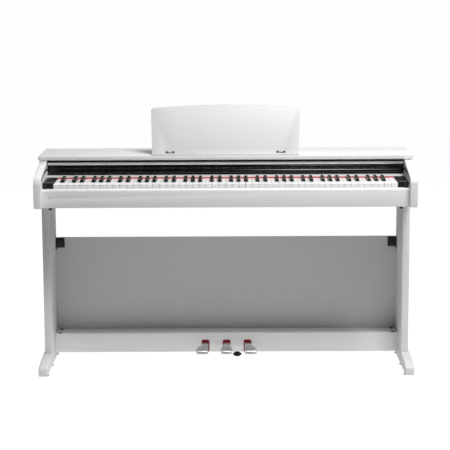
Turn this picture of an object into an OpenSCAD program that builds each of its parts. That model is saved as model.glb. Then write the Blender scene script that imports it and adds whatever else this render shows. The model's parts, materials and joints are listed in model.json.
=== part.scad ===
// Digital piano on a panel stand, with a sliding key cover and three pedals.
// Millimetres. X to the player's right, Y to the rear, Z up from the floor.

/* [Body] */
// Depth of the cheeks, front to back
body_d = 444; // [440:1:560]
// Height of the underside of the body above the floor
body_z = 632; // [560:1:780]
// Thickness of a cheek
cheek_t = 26; // [20:1:34]
// Height of a cheek at its rear
cheek_h = 148; // [144:1:156]
// Height of the upright front edge of a cheek
knee_h = 103; // [90:1:110]
// Radius of the knee at the top of the front edge
knee_r = 24; // [8:1:40]
// Thickness of the key bed
bed_t = 15; // [12:1:20]
// Thickness of the front rail
rail_t = 14; // [10:1:20]
// Height of the front rail
rail_h = 58; // [50:1:60]
// Distance of the front rail behind the cheek fronts
rail_recess = 23; // [15:1:30]
// Height of the key slip on the front rail
slip_h = 7; // [5:0.5:9]
// Thickness of the rear cover and of the stand's back panel
rear_t = 12; // [9:1:16]

/* [Top board] */
// Side overhang past each cheek
top_side = 5; // [2:1:10]
// Depth of the open keyboard, from the cheek fronts to the top board
well_d = 197; // [190:1:205]
// Thickness of the top board
top_t = 16; // [12:1:22]
// Rear overhang past the cheeks
top_rear = 4; // [0:1:8]

/* [Keys] */
// Spacing of the white keys
key_pitch = 23.6; // [22:0.1:30]
// Length of the white keys that shows
key_len = 144; // [140:1:150]
// Height of the white key tops above the body's underside
key_z = 80; // [78:1:84]
// Height of the front face of a white key
key_face = 18; // [15:1:20]
// Length of the black keys that shows
black_len = 94; // [88:1:98]
// Height of a black key above the white keys
black_h = 11.5; // [10:0.5:12]
// Width of a black key at its foot
black_w = 13; // [11:0.5:14]
// Gap between neighbouring keys
key_gap = 0.8; // [0.6:0.1:1.2]
// Width of the block between the keys and a cheek
block_w = 37.5; // [30:0.5:60]
// Dip of a white key at its front edge
key_dip = 10; // [8:0.5:11]

/* [Key cover] */
// Length of the cover, front to back
cover_len = 205; // [195:1:210]
// Thickness of the cover board
cover_t = 7; // [5:1:9]
// Height of the front lip
lip_h = 32.5; // [28:0.5:34]
// Thickness of the front lip
lip_t = 13; // [10:1:16]
// Radius of the guide groove
guide_r = 650; // [600:10:800]
// Width of the guide groove
guide_w = 6; // [5:0.5:8]
// Depth of the guide groove in a cheek
guide_deep = 6; // [4:1:8]

/* [Music rest] */
// Width of the rest at its foot
rest_w = 537; // [450:1:600]
// Extra width at the top of the rest
rest_flare = 10; // [0:1:20]
// Height of the side edges of the rest
rest_h = 168; // [150:1:190]
// Rise of the arched top edge
rest_arch = 12; // [0:1:20]
// Thickness of the rest
rest_t = 10; // [9:1:14]
// Height of the prop's pivot up the rest
prop_v = 72; // [60:1:80]
// Lean of the raised rest from upright
rest_lean = 18; // [12:1:25]

/* [Stand] */
// Thickness of a leg
leg_t = 26; // [20:1:26]
// Depth of a leg
leg_d = 222; // [200:1:240]
// How far a foot stands out past the leg
foot_side = 7; // [4:0.5:12]
// Width of a foot
foot_w = 33; // [31:0.5:40]
// Length of a foot
foot_l = 373; // [340:1:400]
// Height of a foot under its leg
foot_h = 49.5; // [45:0.5:60]
// Height of the foot's front nose
nose_h = 34; // [28:1:40]
// Thickness of the glides under the feet
glide_h = 2; // [2:0.5:5]
// Height of the top edge of the back panel
panel_z = 455; // [400:1:520]
// Depth of the pedal box in front of the back panel
box_d = 84.5; // [80:0.5:110]
// Height of the top of the pedal box
box_z = 97; // [90:1:110]
// Height of the gap below the pedal box
box_gap = 24; // [22:1:30]
// Thickness of the pedal box boards
box_t = 15; // [12:1:18]

/* [Pedals] */
// Spacing of the pedals
pedal_pitch = 80; // [75:1:100]
// Width of a pedal slot
slot_w = 29; // [28:1:34]
// Height of a pedal slot
slot_h = 47; // [44:1:52]
// Length of a pedal in front of the box
pedal_out = 84; // [70:1:90]
// Width of a pedal's neck
neck_w = 20; // [16:1:20]
// Thickness of a pedal
pedal_t = 12; // [8:1:14]

/* [Hidden] */

$fn = 48;
fit = 0.05;          // radial play of a pin in its bore
play = 0.3;          // gap between pieces that sit close without touching
cut = 1;             // overrun of a cutting shape

// Widths, from the row of keys out to the cheeks
white_count = 52;
keys_x = -white_count * key_pitch / 2;
block_gap = 0.6;     // from the outermost key's share of the row to the end block
block_in = -keys_x + block_gap;
block_out = block_in + block_w;
in_x = block_out + play;
out_x = in_x + cheek_t;

// Body: the origin is midway between the cheek fronts and the top board's rear edge
front_y = -(body_d + top_rear) / 2;
rear_y = front_y + body_d;
top_z = body_z + cheek_h;
lid_z = top_z + top_t;
top_y = front_y + well_d;
bed_z = body_z + bed_t;
rail_y = front_y + rail_recess;
rail_z = body_z + rail_h;
bed_y = rail_y + rail_t;
slip_z = rail_z + slip_h;
slope_run = 209;     // run of the sloping top edge of a cheek
slope = atan((cheek_h - knee_h) / slope_run);
toe_r = 5;           // rounding of a cheek's front bottom corner

// Keys
first_letter = 5;    // the lowest key is an A, counting C as 0
low_whites = 23;     // white keys below middle C
octave = 7;          // white keys in an octave
key_y = front_y + 55;
key_top = body_z + key_z;
black_top = key_top + black_h;
pivot_y = key_y + key_len + 70;
pivot_z = key_top - 12;
pivot_r = 4;
key_back = 8;        // key length behind the pivot
key_open = 50;       // white key length in front of the black keys
black_drop = 13;     // how far the hidden part of a black key lies below its top
sharp_after = [1, 1, 0, 1, 1, 1, 0];
sharp_shift = [-2.5, 2.5, 0, -3, 0, 3, 0];
frame_z = body_z + 30;
frame_t = 4;
frame_y = key_y + 4;
frame_back = pivot_y + 12;
end_plate = keys_x - 5;
end_plate_t = 4;
end_plate_half = 10; // half the depth of an end plate, at the pivot
sill_d = 12;         // depth of a sill under the key frame
stop_y = key_y + 8;
stop_d = 10;
stop_gap = key_dip + 1; // from the stop bar up to the white keys

// Panel between the keys and the cover
strip_y = key_y + key_len + 2;
strip_z = key_top + 4;
strip_rise = 8.5;
strip_t = 3;

// End blocks
block_z = key_top + 4.6;
block_foot = 10;     // setback of a block's lower part beside the key frame
dial_x = (block_in + block_out) / 2 + 1;
dial_y = key_y + 54;
dial_r = 6;
dial_h = 5.5;
stem_r = 3;
button_r = 4.5;
button_h = 2.4;
stem_deep = 14;

// Cover and its guides
lip_y = top_y + 18;
strip_d = lip_y + 27 - strip_y;
lip_z = top_z - 19.2 - lip_h;
board_z = lip_z + lip_h;
nose_t = cover_t + 2.5;
cover_end = lip_y + cover_len;
lip_x = in_x - 2;
pin_r = 2.5;
pin_y = lip_y + 7;
pin_z = lip_z + lip_h / 2;
guide_back = 42;     // from the rest place of the pin forward to the top of the arc
guide_y = pin_y - guide_back;
guide_run = guide_y - front_y - 40; // from the top of the arc forward to the closed place
guide_z = pin_z - sqrt(guide_r * guide_r - guide_back * guide_back);
shoe_half = 7;
shoe_play = 0.4;
rest_a = -asin(guide_back / guide_r);
shut_a = asin(guide_run / guide_r);
shoe_a = asin(shoe_half / guide_r);
shut_z = guide_z + guide_r * cos(shut_a);
bumper_r = 4.5;
bumper_y = guide_y - guide_run + 2;
bumper_z = shut_z - lip_h / 2 - play;
bumper_x = block_in + 26;
axle_r = 4;
axle_y = cover_end - 5;
axle_z = board_z - 8;
axle_x = in_x - 2;
rail_w = 14;
rail_deep = 8.5;

// Music rest
fold_y = top_y + 35;
fold_z = lid_z + rest_t / 2 + 1;
ledge_x = rest_w / 2 + 0.5;
ledge_y = top_y + 2;
hinge_x = 203;
hinge_w = 32;
ear_w = 7.8;
lug_w = 14;
knuckle_r = 4.5;
rest_pin_r = 2;
corner_r = 10;
prop_w = 2.5;        // the prop's pivot lies this far behind the rest's middle
prop_half = 30;
prop_t = 4;
prop_foot = 0.4;     // the prop's foot above the top board
prop_y = fold_y + prop_v * sin(rest_lean) + prop_w * cos(rest_lean);
prop_z = fold_z + prop_v * cos(rest_lean) - prop_w * sin(rest_lean);
prop_len = (prop_z - lid_z - prop_t / 2 - prop_foot) / cos(rest_lean);

// Stand
leg_in = in_x;
leg_out = leg_in + leg_t;
leg_y = rear_y - leg_d;
foot_out = leg_out + foot_side;
foot_y = rear_y - foot_l;
foot_round = 8;
panel_y = rear_y - rear_t;
box_y = panel_y - box_d;
box_back = box_y + box_t;
box_top_t = 12;
slot_r = 7;
felt_side = 4;
felt_top = 10;
pedal_z = 52;
pedal_y = panel_y - 18;
pedal_high = box_gap + slot_h - felt_top - 0.4;     // the neck rests just under the felt
pedal_drop = 11;     // how far the nose lies below the neck
shaft_r = 4;
hub_r = 8;
post_t = 3;
post_half = 10;      // half the depth of a bearing post
post_x = pedal_pitch * 1.5;
shaft_half = post_x + 6;
tray_t = 2;
tray_half = post_x + 15;
leveller_x = pedal_pitch / 2 + 1;
leveller_y = box_back + 16;
leveller_r = 17;
thread_r = 5;
bracket_w = 33;
bracket_h = 39;
bracket_t = 3;
bracket_lap = 18;    // reach of a bracket's flange along the leg
seat_y = leg_y + 2;  // front of the brackets between the legs and the key bed
seat_d = 28;

// Inside the body
speaker_x = in_x - 232;
speaker_y = pivot_y + 75;
speaker_r = 48;      // hole in the key bed under a speaker
speaker_rim = 12;    // width of the speaker's flange around the hole
magnet_r = 34;
grille_t = 3;
grille_slot = 3.5;
grille_pitch = 9;
grille_rim = 6;
board_x = speaker_x - 180;   // left end of the circuit board, to the left of the middle
board_w = 380;
board_y = pivot_y + 30;
board_d = 110;
board_t = 1.6;
board_up = 10;       // height of the circuit board above the key bed
spacer_r = 4;
spacer_in = 10;      // from an edge of the circuit board to a spacer
chip_w = 36;
chip_d = 30;
chip_h = 4.4;

// Lamp in the front rail, and sockets in the rear cover
lamp_x = 28 - in_x;
lamp_z = body_z + 35.5;
lamp_r = 2.5;
lamp_deep = 8;
inlet_r = 2.75;
phones_r = 3.2;
socket_x = in_x - 92;
socket_z = body_z + 60;
socket_deep = 10;

// ---- shapes used more than once ----

// Points of an arc in a plane, from one angle to another
function arc(u, v, r, a0, a1, n) =
    [for (i = [0 : n]) [u + r * cos(a0 + (a1 - a0) * i / n), v + r * sin(a0 + (a1 - a0) * i / n)]];

// A profile drawn in Y and Z, run along X
module along_x(x0, length) {
    translate([x0, 0, 0])
        rotate([90, 0, 90])
            linear_extrude(length)
                children();
}

module block(low, high) {
    translate(low)
        cube(high - low);
}

module rod_x(x0, x1, y, z, r) {
    translate([x0, y, z])
        rotate([0, 90, 0])
            cylinder(h = x1 - x0, r = r);
}

module rod_z(x, y, z0, z1, r) {
    translate([x, y, z0])
        cylinder(h = z1 - z0, r = r);
}

module both_sides() {
    children();
    mirror([1, 0, 0])
        children();
}

// A slice of the guide arc, angles counted forward from straight up
module guide_slice(x0, x1, half_w, a0, a1) {
    far = guide_r + 50;
    intersection() {
        difference() {
            rod_x(x0, x1, guide_y, guide_z, guide_r + half_w, $fn = 200);
            rod_x(x0 - cut, x1 + cut, guide_y, guide_z, guide_r - half_w, $fn = 200);
        }
        along_x(x0 - cut, x1 - x0 + 2 * cut)
            polygon([
                [guide_y, guide_z],
                [guide_y - far * sin(a0), guide_z + far * cos(a0)],
                [guide_y - far * sin(a1), guide_z + far * cos(a1)]
            ]);
    }
}

// ---- body ----

module cheek() {
    knee_y = front_y + knee_r;
    knee_z = body_z + knee_h + knee_r * tan(slope) - knee_r / cos(slope);
    difference() {
        along_x(in_x, cheek_t)
            polygon(concat(
                [[rear_y, body_z], [rear_y, top_z], [front_y + slope_run, top_z]],
                arc(knee_y, knee_z, knee_r, 90 + slope, 180, 8),
                arc(front_y + toe_r, body_z + toe_r, toe_r, 180, 270, 5)
            ));
        guide_slice(in_x - cut, in_x + guide_deep, guide_w / 2,
            rest_a - shoe_a * 2, shut_a + shoe_a * 2);
    }
}

module left_cheek() {
    color("white")
        mirror([1, 0, 0])
            cheek();
}

module right_cheek() {
    color("white")
        cheek();
}

module top_board() {
    r = 6;
    half = out_x + top_side;
    back = rear_y + top_rear;
    color("white")
        translate([0, 0, top_z])
            linear_extrude(top_t)
                polygon(concat(
                    arc(half - r, back - r, r, 0, 90, 5),
                    arc(r - half, back - r, r, 90, 180, 5),
                    arc(r - half, top_y + r, r, 180, 270, 5),
                    arc(half - r, top_y + r, r, 270, 360, 5)
                ));
}

module key_bed() {
    color("white")
        difference() {
            block([-in_x, bed_y, body_z], [in_x, rear_y - rear_t, bed_z]);
            both_sides()
                rod_z(speaker_x, speaker_y, body_z - cut, bed_z + cut, speaker_r);
        }
}

module front_rail() {
    color("white")
        difference() {
            block([-in_x, rail_y, body_z], [in_x, bed_y, rail_z]);
            translate([lamp_x, bed_y + cut, lamp_z])
                rotate([90, 0, 0])
                    cylinder(h = rail_t + 2 * cut, r = lamp_r);
        }
}

module power_lamp() {
    color("red")
        translate([lamp_x, rail_y + lamp_deep, lamp_z])
            rotate([90, 0, 0]) {
                cylinder(h = lamp_deep, r = lamp_r);
                translate([0, 0, lamp_deep])
                    cylinder(h = 1, r1 = lamp_r, r2 = lamp_r - 1);
            }
}

module key_slip() {
    r = 2.5;
    back = key_y - 3;
    color("white")
        along_x(-block_out, 2 * block_out)
            polygon(concat(
                [[back, rail_z], [back, slip_z]],
                arc(rail_y + r, slip_z - r, r, 90, 180, 5),
                [[rail_y, rail_z]]
            ));
}

module rear_cover() {
    color("gainsboro")
        difference() {
            block([-in_x, rear_y - rear_t, body_z], [in_x, rear_y, top_z]);
            for (s = [[-socket_x, inlet_r], [socket_x, phones_r]])
                translate([s[0], rear_y + cut, socket_z])
                    rotate([90, 0, 0])
                        cylinder(h = socket_deep + cut, r = s[1]);
        }
}

module name_strip() {
    color("lightgray")
        along_x(-block_out, 2 * block_out)
            polygon([
                [strip_y, strip_z],
                [strip_y + strip_d, strip_z + strip_rise],
                [strip_y + strip_d, strip_z + strip_rise + strip_t],
                [strip_y, strip_z + strip_t]
            ]);
}

module felt_strip() {
    color("firebrick")
        block([keys_x, strip_y - 1, key_top + play * 2], [-keys_x, strip_y + 4, strip_z]);
}

module end_block() {
    low_x = block_in + block_foot;
    block([block_in, key_y, key_top - 20], [block_out, strip_y - play, block_z]);
    block([low_x, key_y, bed_z], [block_out, strip_y - play, key_top - 20]);
}

module end_blocks() {
    color("dimgray")
        difference() {
            both_sides()
                end_block();
            rod_z(dial_x, dial_y, block_z - stem_deep, block_z + cut, stem_r + fit);
            rod_z(-dial_x, dial_y, block_z - stem_deep, block_z + cut, button_r + fit);
        }
}

module cover_bumpers() {
    color("black")
        both_sides() {
            rod_z(bumper_x, bumper_y, slip_z, bumper_z - 1, bumper_r);
            translate([bumper_x, bumper_y, bumper_z - 1])
                cylinder(h = 1, r1 = bumper_r, r2 = bumper_r - 1);
        }
}

// Ledges that carry the ends of the cover's rear shaft
module cover_rails() {
    color("gray")
        both_sides()
            block([in_x - rail_w, lip_y + lip_t + 2, axle_z - axle_r - play - rail_deep],
                [in_x, rear_y - rear_t, axle_z - axle_r - play]);
}

// ---- keyboard ----

module key_frame() {
    color("silver")
        difference() {
            union() {
                block([end_plate, frame_y, frame_z], [-end_plate, frame_back, frame_z + frame_t]);
                for (y = [stop_y, key_y + key_len - 34, frame_back - sill_d - 6])
                    block([end_plate, y, bed_z], [-end_plate, y + sill_d, frame_z]);
                block([end_plate, stop_y, frame_z],
                    [-end_plate, stop_y + stop_d, key_top - key_face - stop_gap]);
                both_sides()
                    block([-end_plate - end_plate_t, pivot_y - end_plate_half, frame_z],
                        [-end_plate, pivot_y + end_plate_half, pivot_z + 2 * pivot_r]);
            }
            rod_x(end_plate - cut, -end_plate + cut, pivot_y, pivot_z, pivot_r);
        }
}

module key_pivot_rod() {
    color("silver")
        rod_x(end_plate, -end_plate, pivot_y, pivot_z, pivot_r);
}

function letter(i) = (i + first_letter) % octave;
function has_sharp(i) = sharp_after[letter(i)] == 1 && i < white_count - 1;
function sharp_x(i) = keys_x + (i + 1) * key_pitch + sharp_shift[letter(i)];

module key_bore(x0, x1) {
    rod_x(x0 - cut, x1 + cut, pivot_y, pivot_z, pivot_r + fit);
}

// One white key, counted from the left
module white_key(i) {
    x0 = keys_x + i * key_pitch + key_gap / 2;
    x1 = x0 + key_pitch - key_gap;
    side = black_w / 2 + key_gap;
    back = pivot_y + key_back;
    below = key_top - key_face;
    difference() {
        block([x0, key_y, below], [x1, back, key_top]);
        if (has_sharp(i))
            block([sharp_x(i) - side, key_y + key_open, below - cut],
                [x1 + cut, back + cut, key_top + cut]);
        if (i > 0 && has_sharp(i - 1))
            block([x0 - cut, key_y + key_open, below - cut],
                [sharp_x(i - 1) + side, back + cut, key_top + cut]);
        key_bore(x0, x1);
    }
}

// The black key after white key i: a sloping front, and a low hidden part to the pivot
module black_key(i) {
    x = sharp_x(i);
    face = key_y + key_open + key_gap;
    low = black_top - black_drop;
    difference() {
        union() {
            intersection() {
                along_x(x - black_w / 2, black_w)
                    polygon([
                        [face, key_top - key_face],
                        [face + 1, key_top],
                        [face + 5, black_top - 1],
                        [face + 7, black_top],
                        [key_y + key_open + black_len - 0.4, black_top],
                        [key_y + key_open + black_len - 0.4, key_top - key_face]
                    ]);
                translate([x, face + 150, 0])
                    rotate([90, 0, 0])
                        linear_extrude(151)
                            polygon([
                                [-black_w / 2, key_top - key_face],
                                [black_w / 2, key_top - key_face],
                                [black_w / 2, key_top],
                                [black_w / 2 - 1.6, black_top],
                                [1.6 - black_w / 2, black_top],
                                [-black_w / 2, key_top]
                            ]);
            }
            block([x - black_w / 2 + 1, key_y + key_open + 20, key_top - key_face],
                [x + black_w / 2 - 1, pivot_y + key_back, low]);
        }
        key_bore(x - black_w / 2, x + black_w / 2);
    }
}

module white_row(first, last) {
    color("white")
        for (i = [first : last])
            white_key(i);
}

module black_row(first, last) {
    color("black")
        for (i = [first : last])
            if (has_sharp(i))
                black_key(i);
}

module white_keys_low() { white_row(0, low_whites - 1); }
module black_keys_low() { black_row(0, low_whites - 1); }
module white_keys_high() { white_row(low_whites + octave, white_count - 1); }
module black_keys_high() { black_row(low_whites + octave, white_count - 1); }
module key_c4() { white_row(low_whites, low_whites); }
module key_c_sharp_4() { black_row(low_whites, low_whites); }
module key_d4() { white_row(low_whites + 1, low_whites + 1); }
module key_d_sharp_4() { black_row(low_whites + 1, low_whites + 1); }
module key_e4() { white_row(low_whites + 2, low_whites + 2); }
module key_f4() { white_row(low_whites + 3, low_whites + 3); }
module key_f_sharp_4() { black_row(low_whites + 3, low_whites + 3); }
module key_g4() { white_row(low_whites + 4, low_whites + 4); }
module key_g_sharp_4() { black_row(low_whites + 4, low_whites + 4); }
module key_a4() { white_row(low_whites + 5, low_whites + 5); }
module key_a_sharp_4() { black_row(low_whites + 5, low_whites + 5); }
module key_b4() { white_row(low_whites + 6, low_whites + 6); }

module main_board() {
    low = bed_z + board_up;
    high = low + board_t;
    color("darkgreen")
        translate([-board_x, board_y, 0]) {
            block([0, 0, low], [board_w, board_d, high]);
            for (x = [spacer_in, board_w - spacer_in])
                for (y = [spacer_in, board_d - spacer_in])
                    rod_z(x, y, bed_z, low, spacer_r);
            for (x = [60, 150, 260])
                block([x, (board_d - chip_d) / 2, high],
                    [x + chip_w, (board_d + chip_d) / 2, high + chip_h]);
        }
}

// A cone speaker facing down over its hole, and a slotted grille flush in the hole
module speakers() {
    cone = speaker_r - 4;
    flange = speaker_r + speaker_rim;
    color("dimgray")
        both_sides() {
            translate([speaker_x, speaker_y, bed_z])
                rotate_extrude()
                    polygon([
                        [8, 14], [cone, 0], [flange, 0], [flange, 3], [cone, 6],
                        [magnet_r, 36], [magnet_r, 52], [0, 52], [0, 14]
                    ]);
            difference() {
                rod_z(speaker_x, speaker_y, body_z, body_z + grille_t, speaker_r);
                for (i = [-4 : 4]) {
                    y = i * grille_pitch;
                    half = sqrt(pow(speaker_r - grille_rim, 2) - y * y);
                    block([speaker_x - half, speaker_y + y - grille_slot / 2, body_z - cut],
                        [speaker_x + half, speaker_y + y + grille_slot / 2, body_z + grille_t + cut]);
                }
            }
        }
}

// ---- key cover ----

module cover_shoes() {
    color("dimgray")
        both_sides() {
            guide_slice(in_x - 1.5, in_x + guide_deep - play, guide_w / 2 - shoe_play,
                rest_a - shoe_a, rest_a + shoe_a);
            rod_x(lip_x - 8, in_x, pin_y, pin_z, pin_r);
        }
}

module cover_panel() {
    color("white")
        along_x(-lip_x, 2 * lip_x)
            polygon([
                [lip_y, board_z], [cover_end, board_z], [cover_end, board_z + cover_t],
                [lip_y + 26, board_z + cover_t], [lip_y + 20, board_z + nose_t],
                [lip_y + 2, board_z + nose_t], [lip_y, board_z + nose_t - 2]
            ]);
}

// Two long beads, one above the other, on a flat-backed bar
module cover_lip() {
    bead = lip_h / 4;
    back = lip_y + lip_t;
    color("black")
        difference() {
            along_x(-lip_x, 2 * lip_x)
                polygon(concat(
                    [[back, lip_z + bead], [back, board_z]],
                    arc(lip_y + bead, board_z - bead, bead, 90, 220, 8),
                    arc(lip_y + bead, lip_z + bead, bead, 140, 270, 8)
                ));
            both_sides()
                rod_x(lip_x - 9, lip_x + cut, pin_y, pin_z, pin_r + fit);
        }
}

// The shaft, and the clamps that hold it under the cover board
module cover_rear_shaft() {
    clamp = axle_r + 3;
    color("silver") {
        rod_x(-axle_x, axle_x, axle_y, axle_z, axle_r);
        both_sides()
            for (x = [170, axle_x - 150])
                difference() {
                    block([x - 12, axle_y - clamp, axle_z - clamp], [x + 12, cover_end, board_z]);
                    rod_x(x - 12 - cut, x + 12 + cut, axle_y, axle_z, axle_r + fit);
                }
    }
}

module volume_knob() {
    color("black") {
        rod_z(dial_x, dial_y, block_z - stem_deep + play, block_z + 1, stem_r);
        rod_z(dial_x, dial_y, block_z + play, block_z + dial_h - 1, dial_r);
        translate([dial_x, dial_y, block_z + dial_h - 1])
            cylinder(h = 1, r1 = dial_r, r2 = dial_r - 1);
    }
}

module power_button() {
    color("black") {
        rod_z(-dial_x, dial_y, block_z - stem_deep + 3, block_z + button_h - 0.6, button_r);
        translate([-dial_x, dial_y, block_z + button_h - 0.6])
            cylinder(h = 0.6, r1 = button_r, r2 = button_r - 0.6);
    }
}

// ---- music rest ----

module rest_ledge() {
    r = 2;
    back = fold_y - rest_t / 2 - 0.5;
    color("white")
        along_x(-ledge_x, 2 * ledge_x)
            polygon(concat(
                [[back, lid_z], [back, fold_z]],
                arc(ledge_y + r, fold_z - r, r, 90, 180, 4),
                [[ledge_y, lid_z]]
            ));
}

module rest_hinges() {
    color("dimgray")
        both_sides()
            for (x = [hinge_x - hinge_w / 2, hinge_x + hinge_w / 2 - ear_w]) {
                rod_x(x, x + ear_w, fold_y, fold_z, knuckle_r);
                block([x, fold_y - knuckle_r, lid_z], [x + ear_w, fold_y + knuckle_r, fold_z]);
                rod_x(hinge_x - hinge_w / 2, hinge_x + hinge_w / 2, fold_y, fold_z, rest_pin_r);
            }
}

// The rest's face: straight sides, rounded corners and an arched top
module rest_outline() {
    foot = rest_w / 2;
    head = foot + rest_flare / 2;
    chord = head - corner_r;
    arch_r = (chord * chord + rest_arch * rest_arch) / (2 * rest_arch);
    arch_a = asin(chord / arch_r);
    arch_v = rest_h + rest_arch - arch_r;
    polygon(concat(
        [[-foot, 0], [foot, 0]],
        arc(head - corner_r, rest_h - corner_r, corner_r, 0, 90 - arch_a, 5),
        arc(0, arch_v, arch_r, 90 - arch_a, 90 + arch_a, 16),
        arc(corner_r - head, rest_h - corner_r, corner_r, 90 + arch_a, 180, 5)
    ));
}

// The panel with its rounded foot, notched for the hinges, and a lug in each notch
module rest_board() {
    foot = rest_w / 2;
    notch = hinge_w / 2 + play;
    lug = lug_w / 2;
    difference() {
        union() {
            translate([0, rest_t / 2, 0])
                rotate([90, 0, 0])
                    linear_extrude(rest_t)
                        rest_outline();
            rod_x(-foot, foot, 0, 0, rest_t / 2);
        }
        both_sides()
            block([hinge_x - notch, -rest_t, -rest_t], [hinge_x + notch, rest_t, 6]);
    }
    both_sides() {
        rod_x(hinge_x - lug, hinge_x + lug, 0, 0, knuckle_r);
        block([hinge_x - lug, -knuckle_r, 0], [hinge_x + lug, knuckle_r, 7]);
    }
}

module rest_panel() {
    color("white")
        translate([0, fold_y, fold_z])
            rotate([-rest_lean, 0, 0])
                difference() {
                    rest_board();
                    both_sides()
                        rod_x(hinge_x - hinge_w, hinge_x + hinge_w, 0, 0, rest_pin_r + fit);
                    block([-prop_half - 1, 0, prop_v - 9],
                        [prop_half + 1, rest_t, prop_v + prop_len + 5]);
                    rod_x(-prop_half - 7, prop_half + 7, prop_w, prop_v, rest_pin_r + fit);
                }
}

module rest_strut() {
    color("dimgray")
        translate([0, prop_y, prop_z])
            rotate([rest_lean, 0, 0]) {
                block([-prop_half, -prop_t / 2, -prop_len], [prop_half, prop_t / 2, 0]);
                rod_x(-prop_half, prop_half, 0, -prop_len, prop_t / 2);
                rod_x(-prop_half, prop_half, 0, 0, prop_t / 2);
                rod_x(-prop_half - 6.5, prop_half + 6.5, 0, 0, rest_pin_r);
            }
}

// ---- stand ----

module leg() {
    block([leg_in, leg_y, foot_h], [leg_out, rear_y, body_z]);
}

module left_leg() {
    color("white")
        mirror([1, 0, 0])
            leg();
}

module right_leg() {
    color("white")
        leg();
}

// The top sweeps down in a shallow curve from the leg to the nose
module foot() {
    r = foot_round;
    steps = 10;
    run = leg_y - foot_y - r;
    fall = foot_h - nose_h;
    along_x(foot_out - foot_w, foot_w)
        polygon(concat(
            [[rear_y, glide_h], [rear_y, foot_h]],
            [for (i = [0 : steps]) [leg_y - run * i / steps, foot_h - fall * pow(i / steps, 2)]],
            arc(foot_y + r, nose_h - r, r, 90 + 20, 180, 5),
            arc(foot_y + r / 2, glide_h + r / 2, r / 2, 180, 270, 4)
        ));
}

module left_foot() {
    color("white")
        mirror([1, 0, 0])
            foot();
}

module right_foot() {
    color("white")
        foot();
}

module foot_glides() {
    color("gray")
        both_sides()
            for (y = [foot_y + 26, leg_y + 20, rear_y - 30])
                rod_z(foot_out - foot_w + 5, y, 0, glide_h, 9);
}

module back_panel() {
    color("gainsboro")
        block([-leg_in, panel_y, box_gap], [leg_in, rear_y, panel_z]);
}

module corner_brackets() {
    low = leg_in - bracket_w;
    foot_low = body_z - bracket_h;
    color("black")
        both_sides() {
            block([low, panel_y - bracket_t, panel_z - bracket_h], [leg_in, panel_y, panel_z]);
            block([leg_in - bracket_t, panel_y - bracket_lap, panel_z - bracket_h - 5],
                [leg_in, panel_y, panel_z]);
            block([leg_in - bracket_t, seat_y, foot_low], [leg_in, seat_y + seat_d, body_z]);
            block([low, seat_y, body_z - bracket_t], [leg_in, seat_y + seat_d, body_z]);
            translate([0, seat_y + bracket_t, 0])
                rotate([90, 0, 0])
                    linear_extrude(bracket_t)
                        polygon([[low + 4, body_z - 1], [leg_in - 1, body_z - 1],
                            [leg_in - 1, foot_low], [leg_in - 10, foot_low]]);
        }
}

module slot(x, half, low, high, r, y0, y1) {
    block([x - half, y0, low], [x + half, y1, high - r]);
    block([x - half + r, y0, low], [x + half - r, y1, high]);
    for (s = [-1, 1])
        translate([x + s * (half - r), y1, high - r])
            rotate([90, 0, 0])
                cylinder(h = y1 - y0, r = r);
}

module pedal_box_front() {
    color("white")
        difference() {
            block([-leg_in, box_y, box_gap], [leg_in, box_back, box_z]);
            for (i = [-1 : 1])
                slot(i * pedal_pitch, slot_w / 2, box_gap - cut, box_gap + slot_h, slot_r,
                    box_y - cut, box_back + cut);
        }
}

module pedal_box_top() {
    color("white")
        block([-leg_in, box_back, box_z - box_top_t], [leg_in, panel_y, box_z]);
}

module pedal_slot_felts() {
    half = slot_w / 2;
    color("firebrick")
        for (i = [-1 : 1])
            difference() {
                slot(i * pedal_pitch, half, box_gap, box_gap + slot_h, slot_r, box_y + 1.5, box_back - 1);
                block([i * pedal_pitch - half + felt_side, box_y, box_gap - cut],
                    [i * pedal_pitch + half - felt_side, box_back, box_gap + slot_h - felt_top]);
            }
}

module pedal_base() {
    color("silver")
        difference() {
            union() {
                block([-tray_half, box_back, box_gap], [tray_half, panel_y, box_gap + tray_t]);
                for (x = [-post_x : pedal_pitch : post_x])
                    block([x - post_t / 2, pedal_y - post_half, box_gap],
                        [x + post_t / 2, pedal_y + post_half, pedal_z + post_half]);
            }
            rod_x(-tray_half, tray_half, pedal_y, pedal_z, shaft_r);
            rod_z(leveller_x, leveller_y, box_gap - cut, box_gap + tray_t + cut, thread_r + fit);
        }
}

module pedal_shaft() {
    color("silver")
        rod_x(-shaft_half, shaft_half, pedal_y, pedal_z, shaft_r);
}

module cam_caps() {
    color("black")
        both_sides()
            for (y = [box_y + 8, panel_y - 15])
                rod_z(leg_in - 17, y, box_z, box_z + 2, 7);
}

function smooth(t) = t * t * (3 - 2 * t);

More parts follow.
